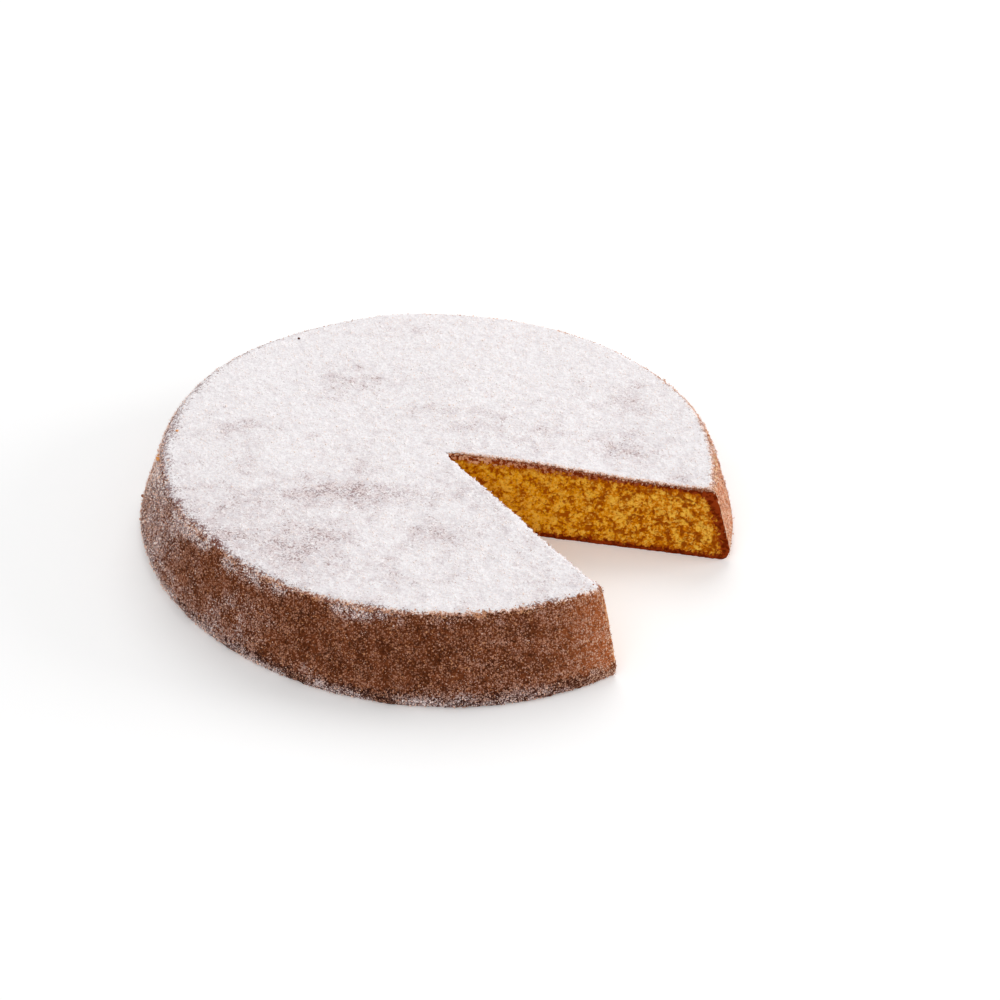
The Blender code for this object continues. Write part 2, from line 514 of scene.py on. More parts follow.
def crumb_finish():
    """Moist granular yellow crumb, with a dark crust line where it meets the outside."""
    finish = Finish("lemon_crumb", specular=0.015)
    depth, hollow, height, inner = finish.known("depth", "hollow", "height", "inner")
    # Painted light: the crumb is painted brighter and yellower towards the slice's point, where the notch's
    # own shade falls.
    finish.colour = finish.mix(inner, (216, 130, 8), (242, 177, 12))
    # Noise paints the crumb darker and lighter in clumps: partly its own mottled tone, partly painted shade
    # in its valleys and painted highlights on its clumps.
    curds = finish.noise(3.4 * MM, 3.0, 0.6)
    valley_shade = finish.mix(inner, (150, 66, 0), (174, 90, 0))
    finish.paint(curds.between(0.48, 0.38) * 0.7, valley_shade)
    finish.paint(curds.between(0.52, 0.62) * 0.65, (255, 204, 72))
    fine = finish.noise(1.1 * MM, 3.0, 0.65)
    finish.paint(fine.between(0.53, 0.64) * 0.7, (255, 210, 98))
    # Painted highlight on the relief's clumps and painted shade in its hollows, from how hollow the relief
    # is there.
    finish.paint(hollow.between(0.36, 0.08) * 0.6, (255, 208, 84))
    finish.paint(fine.between(0.47, 0.37) * 0.65, valley_shade)
    finish.paint(hollow.between(0.52, 0.86) * 0.9, valley_shade)

    ragged = finish.noise(1.6 * MM, 4.0, 0.7) - 0.5
    inwards = depth + ragged * (11.0 * MM)
    toasted = 1 - inwards.between(2.4 * MM, 5.6 * MM)
    burnt = 1 - inwards.between(2.4 * MM, 3.3 * MM)
    finish.paint(toasted * 0.7, (182, 88, 4))
    # Painted light: the crust line and its flecks are painted lighter higher up and towards the slice's
    # point, on a face in shade.
    lit_towards_point = inner * height.between(0.4 * HEIGHT, 0.7 * HEIGHT)
    burnt_colour = finish.mix(lit_towards_point, (104, 24, 2), (146, 62, 22))
    finish.paint(burnt * 0.95, burnt_colour)
    flecks = finish.noise(1.9 * MM, 2.0, 0.6).between(0.49, 0.54) * burnt
    fleck_colour = finish.mix(lit_towards_point, (184, 78, 30), (255, 206, 166))
    finish.paint(flecks * (0.4 + 0.5 * lit_towards_point), fleck_colour)
    finish.bump(finish.noise(1.0 * MM, 4.0, 0.7), 0.35 * MM)
    return finish.done(0.7 + 0.2 * fine)


def sugar_finish():
    """Dry, matt icing sugar, with specks of crust where it is thin or nearly bare."""
    finish = Finish("icing_sugar", specular=0.06)
    thin, bare, warm, edge = finish.known("thin", "bare", "warm", "edge")
    fluff = finish.noise(0.85 * MM, 4.0, 0.75)
    shade = finish.mix(thin.between(0.0, 0.4), (236, 230, 232), (224, 217, 220))
    finish.colour = finish.mix(fluff.between(0.32, 0.6), shade, (254, 251, 252))
    # Painted shade between the sugar's clumps, deeper where the sugar is thin and the crust shows through.
    distance, _ = finish.grains(1.15 * MM)
    between_clumps = distance.between(0.38, 0.75)
    finish.paint(between_clumps * (0.14 + 0.5 * thin), (206, 194, 198))
    soft = finish.noise(4.0 * MM, 4.0, 0.65)
    finish.paint(soft.between(0.44, 0.62) * (0.24 + 0.25 * thin), (210, 200, 204))
    faint = finish.noise(1.3 * MM, 3.0, 0.6)
    finish.paint(faint.between(0.56, 0.72) * (0.1 + 0.6 * thin), (196, 174, 182))
    tanned = finish.noise(3.0 * MM, 3.0, 0.6)
    finish.paint(thin * tanned.between(0.35, 0.6) * 0.35, (222, 194, 188))
    gaps = finish.noise(0.8 * MM, 3.0, 0.7)
    edge = edge + (gaps - 0.5) * 2.6
    blush = finish.mix(edge.between(0.45, 1.0), (252, 228, 216), (206, 148, 118))
    blush = finish.mix(warm, (214, 194, 198), blush)
    finish.paint(edge.between(0.2, 0.65) * (0.5 + 0.5 * warm), blush)
    clusters = finish.noise(4.5 * MM, 3.0, 0.65)
    rare = 0.65 - 0.13 * thin - 0.21 * bare + (0.5 - clusters) * 0.34
    shows = gaps.between(rare, rare + 0.035)
    under = finish.mix(bare * warm, (122, 80, 78), (112, 58, 42))
    finish.paint(shows * (0.42 + 0.25 * thin + 0.4 * bare), under)
    finish.bump(finish.noise(0.7 * MM, 4.0, 0.8) - 0.35 * between_clumps, 0.3 * MM)
    return finish.done(0.95, glow=0.06)


def grain_finish():
    """Single grains and small clumps of icing sugar, some of them thin enough to look tanned."""
    finish = Finish("sugar_grains", specular=0.15)
    [tint] = finish.known("tint")
    stops = [
        (0.0, (140, 84, 58)),
        (0.45, (206, 154, 130)),
        (0.8, (246, 211, 192)),
        (1.0, (254, 248, 247)),
    ]
    finish.colour = finish.node("ShaderNodeValToRGB", {"stops": stops}, {"Fac": tint})
    finish.bump(finish.noise(0.4 * MM, 2.0), 0.1 * MM, 0.6)
    return finish.done(0.9 - 0.1 * tint, glow=0.05)


def loose_crumb_finish():
    """Crumbs broken from the rim and the cut edges, from toasted brown to golden."""
    finish = Finish("loose_crumbs", specular=0.15)
    [tint] = finish.known("tint")
    stops = [
        (0.0, (84, 26, 8)),
        (0.4, (164, 88, 44)),
        (0.8, (228, 182, 148)),
        (1.0, (232, 150, 60)),
    ]
    finish.colour = finish.node("ShaderNodeValToRGB", {"stops": stops}, {"Fac": tint})
    dust = finish.noise(0.7 * MM, 3.0, 0.7)
    finish.paint(dust.between(0.46, 0.6) * tint * 0.5, (245, 225, 210))
    finish.bump(dust, 0.3 * MM, 0.8)
    return finish.done(0.75 + 0.15 * dust)


# -------- the cake under its sugar


def crust_relief(points, height):
    """How far the crust stands out: low lumps, crumbly roughness and small pits, coarser at the rim."""
    rim = eased(height, HEIGHT - 4.0 * MM, HEIGHT - 1.0 * MM)
    foot = 1 - eased(height, 0.5 * MM, 5.0 * MM)
    pits, _, number = cells(points, 2.6 * MM)
    pit = eased(0.45 - pits, 0, 0.3) * (number > 0.75)
    return (
        lumps(points, 13 * MM) * 0.25 * MM
        + rough(points, 2.1 * MM) * (0.17 + 0.2 * rim + 0.25 * foot) * MM
        - pit * 0.28 * MM
    )


def warped(points, size, amount):
    """The points pushed about a little, so that round cells come out as irregular crumbs."""
    pushes = [lumps(points, size, shift) for shift in (11.3, 23.9, 37.1)]
    return points + np.stack(pushes, axis=1) * amount


def crumb_relief(points):
    """How far the cut crumb stands out, and how hollow it is there."""
    torn = warped(warped(points, 3.0 * MM, 1.8 * MM), 1.2 * MM, 0.6 * MM)
    nearest, second, number = cells(torn, 3.0 * MM)
    crack = 1 - eased(second - nearest, 0.0, 0.16)
    flaky = rough(points, 1.5 * MM, shift=17.7)
    broad = rough(points, 5 * MM, 2, shift=3.3)
    hole = eased(rough(points, 4.5 * MM, shift=9.1), 0.2, 0.9)
    clump = (0.45 - nearest) * 0.4 + (number - 0.5) * 0.5 - crack * 0.3
    relief = clump + flaky * 0.35 + broad * 0.25 - hole * 0.5
    hollow = np.clip(0.34 - relief * 0.95, 0, 1)
    return relief * MM, hollow


def drift_and_light_at(points, height):
    """Where sugar has drifted on the crust: under the rim, at the foot, and more of it to the left, where
    it is partly painted light and sheen on that side.
    """
    x, y = points[:, 0], points[:, 1]
    patches = eased(rough(points, 22 * MM, shift=3.7), -0.35, 0.5)
    front_right = eased(x, -25 * MM, 15 * MM)
    in_front = 1 - eased(y, -10 * MM, 30 * MM)
    under_rim = eased(height, HEIGHT - 7.5 * MM, HEIGHT - 1.5 * MM) * (1 - 0.8 * front_right * in_front)
    broken = eased(rough(points, 13 * MM, shift=25.4), -0.5, 0.3)
    foot = 0.62 * (1 - eased(height, 1.0 * MM, 8 * MM)) * broken
    foot = foot * (1 - 0.7 * eased(x, 15 * MM, 65 * MM))
    # Painted light and sheen: more sugar is painted on the left side, partly dust and partly the light that
    # falls on that side.
    leftwards = -x + rough(points, 24 * MM, shift=33.8) * 12 * MM
    left = eased(leftwards, 76 * MM, 120 * MM) * (0.35 + 0.5 * eased(height, 4 * MM, 26 * MM))
    streaks = 0.2 * eased(rough(points * [1, 1, 3], 9 * MM, shift=29.9), 0.0, 0.7)
    drift = 0.08 + 0.15 * patches + (0.15 + 0.7 * patches) * under_rim + 0.95 * foot + left + streaks
    drift += 0.2 * (1 - eased(height, 5 * MM, 15 * MM)) * (1 - eased(x, 30 * MM, 80 * MM))
    for middle, across, more in WALL_DRIFTS:
        away = np.linalg.norm(points - np.array(middle), axis=1)
        drift += more * (1 - eased(away, 0.3 * across, across))
    return np.clip(drift, 0, 1)


def pale_and_lit_at(points):
    """Where the crust is painted paler, round to the right and the back: partly a paler bake, partly
    painted light that falls on the right side.
    """
    return eased(points[:, 0] + 0.2 * points[:, 1], 0, 112 * MM)


def warm_at(points):
    """Where the bared rim is golden. Round to the left and behind it the sugar's specks are cooler."""
    x, y = points[:, 0], points[:, 1]
    behind_left = eased(y, 0, 30 * MM) * (1 - eased(x, -60 * MM, -20 * MM))
    return eased(x, -104 * MM, -90 * MM) * (1 - behind_left)


def worn_at(points, height, from_corner):
    """Where the crust is rubbed pale and crumbly: stretches of the rim, and the corners at the cuts."""
    patches = eased(rough(points, 12 * MM, shift=15.1), -0.25, 0.45)
    # The rim is rubbed all along the paler right side, so it also carries that side's painted light.
    stretches = np.maximum(patches, 0.7 * pale_and_lit_at(points))
    rim = stretches * warm_at(points) * eased(height, HEIGHT - 2.0 * MM, HEIGHT - 1.1 * MM)
    corner = (1 - eased(from_corner, 0, 2.6 * MM)) * eased(height, 3 * MM, 12 * MM)
    corner = corner * eased(HEIGHT - height, 1.5 * MM, 4 * MM)
    broken = eased(rough(points, 3 * MM, shift=44.1), -0.7, 0.3)
    return np.maximum(rim, 0.8 * corner * broken)


def wall_surface():
    """The wall with its relief, as a grid of points from the far cut round to the near one."""
    radius, height, out_share, up_share = wall_section(WALL_ROWS)
    headings = np.linspace(CUTS["far"], CUTS["near"], WALL_COLUMNS + 1)
    x, y = from_slice_point(headings[:, None], reach(headings[:, None], radius[None, :]))
    height = np.broadcast_to(height, x.shape).copy()
    facing = np.arctan2(y, x)
    up_share = np.broadcast_to(up_share, x.shape)
    out = np.stack([np.cos(facing) * out_share, np.sin(facing) * out_share, up_share], -1)
    plain = baked(x, y, height)
    flat, flat_height = plain.reshape(-1, 3), height.ravel()
    relief = crust_relief(flat, flat_height).reshape(x.shape)
    column = np.arange(WALL_COLUMNS + 1)
    column_width = WIDEST_RADIUS * (headings[1] - headings[0])
    from_corner = np.repeat(np.minimum(column, column[::-1]) * column_width, WALL_ROWS + 1)
    return {
        "points": plain + out * relief[..., None],
        "out": out,
        "height": height,
        "drift": drift_and_light_at(flat, flat_height).reshape(x.shape),
        "pale": pale_and_lit_at(flat).reshape(x.shape),
        "worn": worn_at(flat, flat_height, from_corner).reshape(x.shape),
    }


def cut_surface(side):
    """One cut face as a grid, from the slice's point out to the wall, whose own points end each row."""
    radius, height, _, _ = wall_section(WALL_ROWS)
    heading = CUTS[side]
    share = np.linspace(0, 1, CUT_COLUMNS + 1)[:, None]
    to_wall = reach(heading, radius)[None, :]
    point_height = np.linspace(0, HEIGHT, WALL_ROWS + 1)[None, :]
    nominal_height = point_height + share * (height[None, :] - point_height)
    x, y = from_slice_point(heading, share * to_wall)
    plain = baked(x, y, nominal_height)
    turn = 1 if side == "far" else -1
    out = turn * np.array([math.sin(heading), -math.cos(heading), 0.0])
    stands, hollow = (part.reshape(x.shape) for part in crumb_relief(plain.reshape(-1, 3)))
    below_top = HEIGHT - nominal_height
    from_wall = (1 - share) * to_wall
    from_point = share * to_wall
    depth = np.minimum(np.minimum(from_wall * 0.75, below_top), nominal_height * 1.3)
    in_outer_corner = 1 - eased(from_wall + 1.5 * below_top, 5 * MM, 20 * MM)
    depth = depth - 4.0 * MM * in_outer_corner * eased(depth, 0, 2.0 * MM)
    edge = 1 - 0.6 * (1 - eased(depth, 0, 1.5 * MM))
    stands = (stands - 0.1 * MM) * edge * eased(from_point, 0, 4 * MM)
    if side == "near":
        stands = stands - NEAR_CRUMBLED * eased(from_point, 0, 3 * MM) * eased(from_wall, 0, 7 * MM)
    return {
        "points": plain + out * stands[..., None],
        "wall_shift": out * stands[-1][:, None],
        "out": np.broadcast_to(out, plain.shape),
        "height": nominal_height,
        "depth": depth,
        "hollow": hollow,
        # How near the slice's point, which paints the crumb lighter there as painted light.
        "inner": 1 - eased(from_point + 0.6 * (nominal_height - 0.5 * HEIGHT), 5 * MM, 105 * MM),
    }


class Body:
    """Gathers the points of a mesh with the values they hold, and its faces with their finishes."""

    NAMES = ("height", "drift", "pale", "worn", "depth", "hollow", "inner")

    def __init__(self):
        self.count = 0
        self.points = []
        self.values = {name: [] for name in self.NAMES}
        self.faces = []
        self.finishes = []

    def add_points(self, points, **values):
        """Adds points of any array shape, and gives their numbers in that shape."""
        flat = points.reshape(-1, 3)
        self.points.append(flat)
        for name in self.NAMES:
            given = values.get(name, 0.0)
            self.values[name].append(np.broadcast_to(given, points.shape[:-1]).ravel())
        numbers = np.arange(len(flat)).reshape(points.shape[:-1]) + self.count
        self.count += len(flat)
        return numbers

    def add_faces(self, faces, finish):
        self.faces += np.asarray(faces).tolist()
        self.finishes += [finish] * len(faces)

    def joined(self):
        points = np.concatenate(self.points)
        values = {name: np.concatenate(parts) for name, parts in self.values.items()}
        return points, values


def level_ring(wall_numbers, grids, row):
    """The numbers of the points of one row, round the wall and back along both cuts."""
    return np.concatenate([wall_numbers[:, row], grids["near"][-2::-1, row], grids["far"][1:-1, row]])


def close_level(body, ring, level, inner_radius, facing_up):
    """Fills the top or the underside inside its ring of points."""
    x, y = spread_points(CAP_STEP, inner_radius - CAP_STEP, CAP_STEP)
    inner = baked(x, y, np.full(len(x), level))
    ring_points = np.concatenate(body.points)[ring]
    triangles = np.array(filled_outline(ring_points[:, :2] / MM, inner[:, :2] / MM))
    # The top's crust is painted rubbed, which also lifts the shade under the sugar's edge with painted
    # light.
    inner_numbers = body.add_points(inner, height=level, drift=0.1, worn=EDGE_WORN_AND_LIT if facing_up else 0.0)
    triangles = np.concatenate([ring, inner_numbers])[triangles]
    body.add_faces(triangles if facing_up else triangles[:, ::-1], 0)


def cake_body(wall, cuts, crust, crumb):
    """The cake itself: a wall, two cut faces, and a plain top and underside, in one closed mesh."""
    wall_values = {name: wall[name] for name in ("height", "drift", "pale", "worn")}
    wall_values["hollow"] = np.zeros(wall["height"].shape)
    wall_points = wall["points"].copy()
    for column, side in ((0, "far"), (-1, "near")):
        wall_points[column] += cuts[side]["wall_shift"]
        wall_values["hollow"][column] = cuts[side]["hollow"][-1]

    body = Body()
    wall_numbers = body.add_points(wall_points, **wall_values)
    body.add_faces(grid_faces(wall_numbers), 0)

    grids = {}
    for side, first, column in (("far", 0, 0), ("near", 1, -1)):
        face = cuts[side]
        values = {name: face[name][first:-1] for name in ("height", "depth", "hollow", "inner")}
        # Rubbed crust here also paints light onto the ledge at the top of the cut, where shade falls.
        numbers = body.add_points(face["points"][first:-1], worn=EDGE_WORN_AND_LIT, **values)
        if side == "near":
            numbers = np.concatenate([grids["far"][:1], numbers])
        grids[side] = np.concatenate([numbers, wall_numbers[column][None, :]])
        body.add_faces(grid_faces(grids[side], flipped=side == "near"), 1)

    close_level(body, level_ring(wall_numbers, grids, -1), HEIGHT, RIM_RADIUS, facing_up=True)
    for part in body.points:
        part[:, 2] = np.maximum(part[:, 2], 0.0)
    foot = level_ring(wall_numbers, grids, 0)
    close_level(body, foot, 0.0, BASE_RADIUS, facing_up=False)

    points, values = body.joined()
    points[foot, 2] = 0.0
    return mesh_piece("cake_body", points, body.faces, [crust, crumb], body.finishes, values)


# -------- icing sugar on the top


def top_height(x, y):
    """The nominal height of the top and its rounded rim at this place, before it is baked uneven."""
    over = np.clip(np.hypot(x, y) - RIM_RADIUS, 0, EDGE_ROUNDING * 0.98)
    return RIM_ARC_HEIGHT + np.sqrt(EDGE_ROUNDING**2 - over**2)


def sugar_outline():
    """The ragged edge of the sugar: its headings and reach over the rim, and then all of its points."""
    rim_length = RIM_RADIUS * (CUTS["near"] - CUTS["far"])
    headings = np.linspace(CUTS["far"], CUTS["near"], int(rim_length / SUGAR_EDGE_STEP))
    where = np.stack([np.cos(headings), np.sin(headings), 0 * headings], 1) * RIM_RADIUS
    ragged = rough(where, 1.7 * MM, 4) * 0.55 + rough(where, 13 * MM, 2, shift=4.4) * 0.35
    covered = 0.62 + 0.38 * ragged + 0.25 * eased(where[:, 1], 0, 45 * MM)
    rim_reach = reach(headings, RIM_RADIUS + EDGE_ROUNDING * np.clip(covered, 0.05, 0.93))
    rim_x, rim_y = from_slice_point(headings, rim_reach)
    sides = []
    for side, sign in (("near", 1), ("far", -1)):
        heading = CUTS[side]
        length = reach(heading, RIM_RADIUS)
        distance = np.linspace(SUGAR_EDGE_STEP, length, int(length / SUGAR_EDGE_STEP))
        x, y = from_slice_point(heading, distance)
        along = np.stack([x, y, 0 * x], 1)
        over = (1.2 * rough(along, 1.5 * MM) + 0.4 * rough(along, 5 * MM, 2, shift=2.2)) * MM
        if side == "near":
            over = over - 0.1 * MM - NEAR_CRUMBLED * eased(length - distance, 0, 7 * MM)
        else:
            over = np.minimum(over - 0.45 * MM, 0.0)
        over = over * eased(distance, 0.5 * MM, 3 * MM)
        sides.append((x - sign * math.sin(heading) * over, y + sign * math.cos(heading) * over))
    near_x, near_y = sides[0][0][::-1], sides[0][1][::-1]
    far_x, far_y = sides[1]
    x = np.concatenate([rim_x, near_x, [SLICE_POINT[0]], far_x])
    y = np.concatenate([rim_y, near_y, [SLICE_POINT[1]], far_y])
    return headings, rim_reach, x, y


def thin_at(points):
    """0 where the sugar is deep, 1 where the crust shows through it."""
    x, y = points[:, 0] / MM, points[:, 1] / MM
    patchy = np.zeros(len(points))
    for middle_x, middle_y, length, width, amount in THIN_PATCHES:
        away = ((x - middle_x) / length) ** 2 + ((y - middle_y) / width) ** 2
        patchy = np.maximum(patchy, amount * np.exp(-away))
    broad = rough(points, 30 * MM, shift=1.3)
    small = rough(points, 7 * MM, shift=6.1)
    # Whiter towards the back: partly deeper sugar, partly painted light on the back of the top.
    deeper_and_lit_at_back = 0.42 * eased(y, 20, 95)
    at_front_left = 0.12 * eased(-0.7 * x - y, 10, 80)
    return eased(0.9 * patchy + 0.36 * broad + 0.42 * small - deeper_and_lit_at_back + at_front_left, -0.1, 1.1)


def bare_at(points, from_rim, from_cut):
    """Where the sugar breaks up into specks at its edges, in a band that is wider to the left."""
    left = eased(-points[:, 0], 40 * MM, 100 * MM)
    right = eased(points[:, 0], 75 * MM, 105 * MM)
    width = (2.6 + 5.0 * left + 2.6 * right + 1.6 * rough(points, 14 * MM, 2, shift=21.2)) * MM
    at_rim = 1 - eased(from_rim / np.maximum(width, 1.2 * MM), 0, 1)
    at_cut = 0.7 * (1 - eased(from_cut, 0, 1.1 * MM))
    broken = rough(points, 2.4 * MM, shift=41.7)
    edge = np.maximum(at_rim, at_cut)
    return np.clip(edge * (0.75 + 0.6 * broken), 0, 1)


def edge_at(x, y, from_ragged, from_cut):
    """Where the sugar is only a blush at its very edge, which is broadest along the far cut."""
    middle_heading = (FAR_CUT_HEADING + NEAR_CUT_HEADING) / 2
    away_x, away_y = x - SLICE_POINT[0], y - SLICE_POINT[1]
    beyond = away_x * math.tan(middle_heading) < away_y
    width = np.where(beyond, 3.0 * MM, 0.6 * MM)
    at_cut = (1 - eased(from_cut, -0.3 * MM, width)) * eased(away_x, 0, 6 * MM)
    at_cut = at_cut * np.where(beyond, 1.0, 0.5)
    rim_width = 1.7 * MM + 1.8 * MM * eased(x, 75 * MM, 105 * MM)
    return np.maximum(1 - eased(from_ragged, 0, rim_width), at_cut)


def sugar_surface():
    """The upper side of the sugar coat. Its points at the edge come first."""
    headings, rim_reach, edge_x, edge_y = sugar_outline()
    inner_x, inner_y = spread_points(SUGAR_STEP, RIM_RADIUS + EDGE_ROUNDING, 0.75 * MM)
    away_x, away_y = inner_x - SLICE_POINT[0], inner_y - SLICE_POINT[1]
    towards = np.arctan2(away_y, away_x)
    towards = np.where(towards < CUTS["far"], towards + math.tau, towards)
    from_ragged = np.interp(towards, headings, rim_reach) - np.hypot(away_x, away_y)
    kept = from_ragged > 0.5 * MM
    on_rim = np.arange(len(edge_x)) < len(headings)
    from_ragged = np.concatenate([np.where(on_rim, 0.0, 9 * MM), from_ragged[kept]])
    edge = np.stack([edge_x, edge_y], 1)
    inner = np.stack([inner_x, inner_y], 1)[kept]
    triangles = filled_outline(edge / MM, inner / MM)
    x, y = np.concatenate([edge, inner]).T
    under = baked(x, y, top_height(x, y))
    from_rim = RIM_RADIUS + 2.4 * MM - np.hypot(x, y)
    from_cut = inside_cuts(x, y)
    thin = thin_at(under)
    bare = bare_at(under, from_rim, from_cut)
    deep = eased(np.minimum(from_rim, from_cut + 0.3 * MM), -0.2 * MM, 2.5 * MM)
    clumps, _, clump_number = cells(warped(under, 2.0 * MM, 0.8 * MM), 2.1 * MM, shift=7.7)
    layer = (
        0.3
        + 0.26 * deep * (1 - 0.6 * thin)
        + 0.26 * rough(under, 1.6 * MM)
        + 0.16 * rough(under, 6 * MM, 2, shift=8.8)
        + 0.26 * eased(0.5 - clumps, 0, 0.45) * eased(clump_number, 0.3, 0.9)
        - 0.3 * (1 - deep) * eased(rough(under, 1.9 * MM, shift=31.3), -0.2, 0.5)
    )
    layer = np.maximum(layer, -0.12)
    layer[: len(edge)] = 0.03
    above = under.copy()
    above[:, 2] += layer * MM
    edge_share = edge_at(x, y, from_ragged, from_cut)
    return {
        "under": under,
        "above": above,
        "edge": len(edge),
        "skirt": np.where(on_rim, 0.35, 0.1) * MM,
        "triangles": triangles,
        "values": {"thin": thin, "bare": bare, "warm": warm_at(under), "edge": edge_share},
    }


def sugar_coat(surface, sugar):
    """A layer of icing sugar on the top: uneven and clumpy, with its edge fading out."""
    count = surface["edge"]
    skirt = surface["under"][:count].copy()
    skirt[:, 2] -= surface["skirt"]
    x, y = spread_points(8 * MM, RIM_RADIUS - 3 * MM, 3 * MM)
    sunk = baked(x, y, top_height(x, y) - 0.9 * MM)
    points = np.concatenate([surface["above"], skirt, sunk])
    unseen = np.zeros(len(sunk))
    values = {
        name: np.concatenate([held, held[:count], unseen]) for name, held in surface["values"].items()
    }

    ring = np.arange(count)
    following = np.roll(ring, -1)
    low = len(surface["above"])
    skirt_faces = np.stack([ring, ring + low, following + low, following], 1)
    underside = filled_outline(skirt[:, :2] / MM, sunk[:, :2] / MM)
    underside = [[corner + low for corner in reversed(face)] for face in underside]
    faces = surface["triangles"] + skirt_faces.tolist() + underside
    return mesh_piece("sugar_coat", points, faces, [sugar], None, values)


# -------- loose grains and crumbs

# Single crumbs that lie apart: (x, y, z, width) in millimetres, and how golden.
LONE_CRUMBS = (
    (-104.7, 12.6, 36.3, 2.0, 1.0),
    (-59.1, 86.3, 36.0, 1.6, 0.0),
    (-119.7, 10.0, 6.4, 1.8, 0.3),
    (-111.2, -2.6, 33.0, 2.0, 1.0),
    (-110.8, -4.8, 33.7, 1.7, 1.0),
    (-111.1, -0.8, 33.2, 1.4, 0.9),
)

GRAIN_CORNERS = np.array([[1, 0, 0], [-1, 0, 0], [0, 1, 0], [0, -1, 0], [0, 0, 1], [0, 0, -1]], float)
GRAIN_FACES = np.array(
    [[0, 2, 4], [2, 1, 4], [1, 3, 4], [3, 0, 4], [2, 0, 5], [1, 2, 5], [3, 1, 5], [0, 3, 5]]
)


def random_turns(chance, count):
    """Rotations spread evenly over all directions, as 3 by 3 matrices."""
    w, x, y, z = chance.normal(size=(4, count))
    length = np.sqrt(w * w + x * x + y * y + z * z)
    w, x, y, z = w / length, x / length, y / length, z / length
    rows = [
        [1 - 2 * (y * y + z * z), 2 * (x * y - w * z), 2 * (x * z + w * y)],
        [2 * (x * y + w * z), 1 - 2 * (x * x + z * z), 2 * (y * z - w * x)],
        [2 * (x * z - w * y), 2 * (y * z + w * x), 1 - 2 * (x * x + y * y)],
    ]
    return np.moveaxis(np.array(rows), 2, 0)


def scattered(name, places, widths, corners, corner_faces, chance, finish, tints):
    """Many small lumps as one mesh: each its own size, turned its own way, and a little out of shape."""
    count = len(places)
    shape = corners[None] * (1 + chance.uniform(-UNEVEN, UNEVEN, (count, len(corners), 1)))
    shape = shape * chance.uniform(0.65, 1.0, (count, 1, 3))
    turned = np.einsum("nij,nkj->nki", random_turns(chance, count), shape)
    points = places[:, None, :] + turned * (widths / 2)[:, None, None]
    faces = corner_faces[None] + (np.arange(count) * len(corners))[:, None, None]
    tint = np.repeat(tints, len(corners))
    return mesh_piece(name, points.reshape(-1, 3), faces.reshape(-1, 3), [finish], None, {"tint": tint})


def chosen(chance, weights, count):
    """Which of the places get a lump: no place twice, and those of more weight more often."""
    keys = chance.random(len(weights)) ** (1 / np.maximum(weights, 1e-6))
    return np.argsort(-keys)[:count]


def lifted(places, out, widths):
    """The places moved out from the surface, so that the lumps show, and kept above the table."""
    places = places + out * (widths * LIFTED)[:, None]
    places[:, 2] = np.maximum(places[:, 2], widths * LUMP_REACH)
    return places


def cut_edge(cuts, reach_down):
    """Both cut faces' points just under the top, their outward directions, and how far down each is."""
    points, outs, downs = [], [], []
    for side, face in cuts.items():
        down = HEIGHT - face["height"]
        least_down = 0.6 * MM if side == "near" else 0.0
        near_top = (down < reach_down) & (down > least_down)
        points.append(face["points"][near_top])
        outs.append(face["out"][near_top])
        downs.append(down[near_top])
    return np.concatenate(points), np.concatenate(outs), np.concatenate(downs)


def wall_grains(wall, cuts, finish):
    """Icing sugar that stuck to the wall, thickest under the rim and at the foot, and on the cut edges."""
    chance = np.random.default_rng(11)
    points, out = wall["points"].reshape(-1, 3), wall["out"].reshape(-1, 3)
    drift = wall["drift"].ravel()
    clusters = eased(rough(points, 3.5 * MM, shift=12.5), -0.5, 0.7)
    picked = chosen(chance, (0.12 + 1.6 * drift) * (0.25 + clusters), WALL_GRAINS)
    edge_points, edge_out, down = cut_edge(cuts, 0.8 * MM)
    to_point = np.hypot(edge_points[:, 0] - SLICE_POINT[0], edge_points[:, 1] - SLICE_POINT[1])
    edge_weights = (1 - down / (1.5 * MM)) * (1.1 - eased(to_point, 30 * MM, 90 * MM))
    on_edge = chosen(chance, edge_weights, CUT_EDGE_GRAINS)
    ledge = chance.uniform(-0.2, 1.0, (len(on_edge), 1)) * (down[on_edge] < 0.6 * MM)[:, None]
    edge_places = edge_points[on_edge] - edge_out[on_edge] * ledge * MM
    places = np.concatenate([points[picked], edge_places])
    out = np.concatenate([out[picked], edge_out[on_edge]])
    places = places + chance.normal(0, STRAY, places.shape)
    widths = chance.gamma(3.0, 0.085 * MM, len(places)) + 0.15 * MM
    widths[: len(picked)] *= 1 + 0.5 * drift[picked]
    widths[len(picked) :] *= 1.25
    places = lifted(places, out, widths)
    tints = 0.75 * chance.beta(1.5, 2.0, len(places))
    tints[: len(picked)] += 0.75 * (drift[picked] - 0.2)
    # Grains on the cut faces are tinted peach, more the lower they sit: partly sugar lying thin on the
    # crust, partly painted warm light where they sit in shade.
    tints[len(picked) :] += 0.2 - 0.4 * down[on_edge] / MM
    tints = np.clip(tints, 0, 0.95)
    return scattered("wall_sugar", places, widths, GRAIN_CORNERS, GRAIN_FACES, chance, finish, tints)


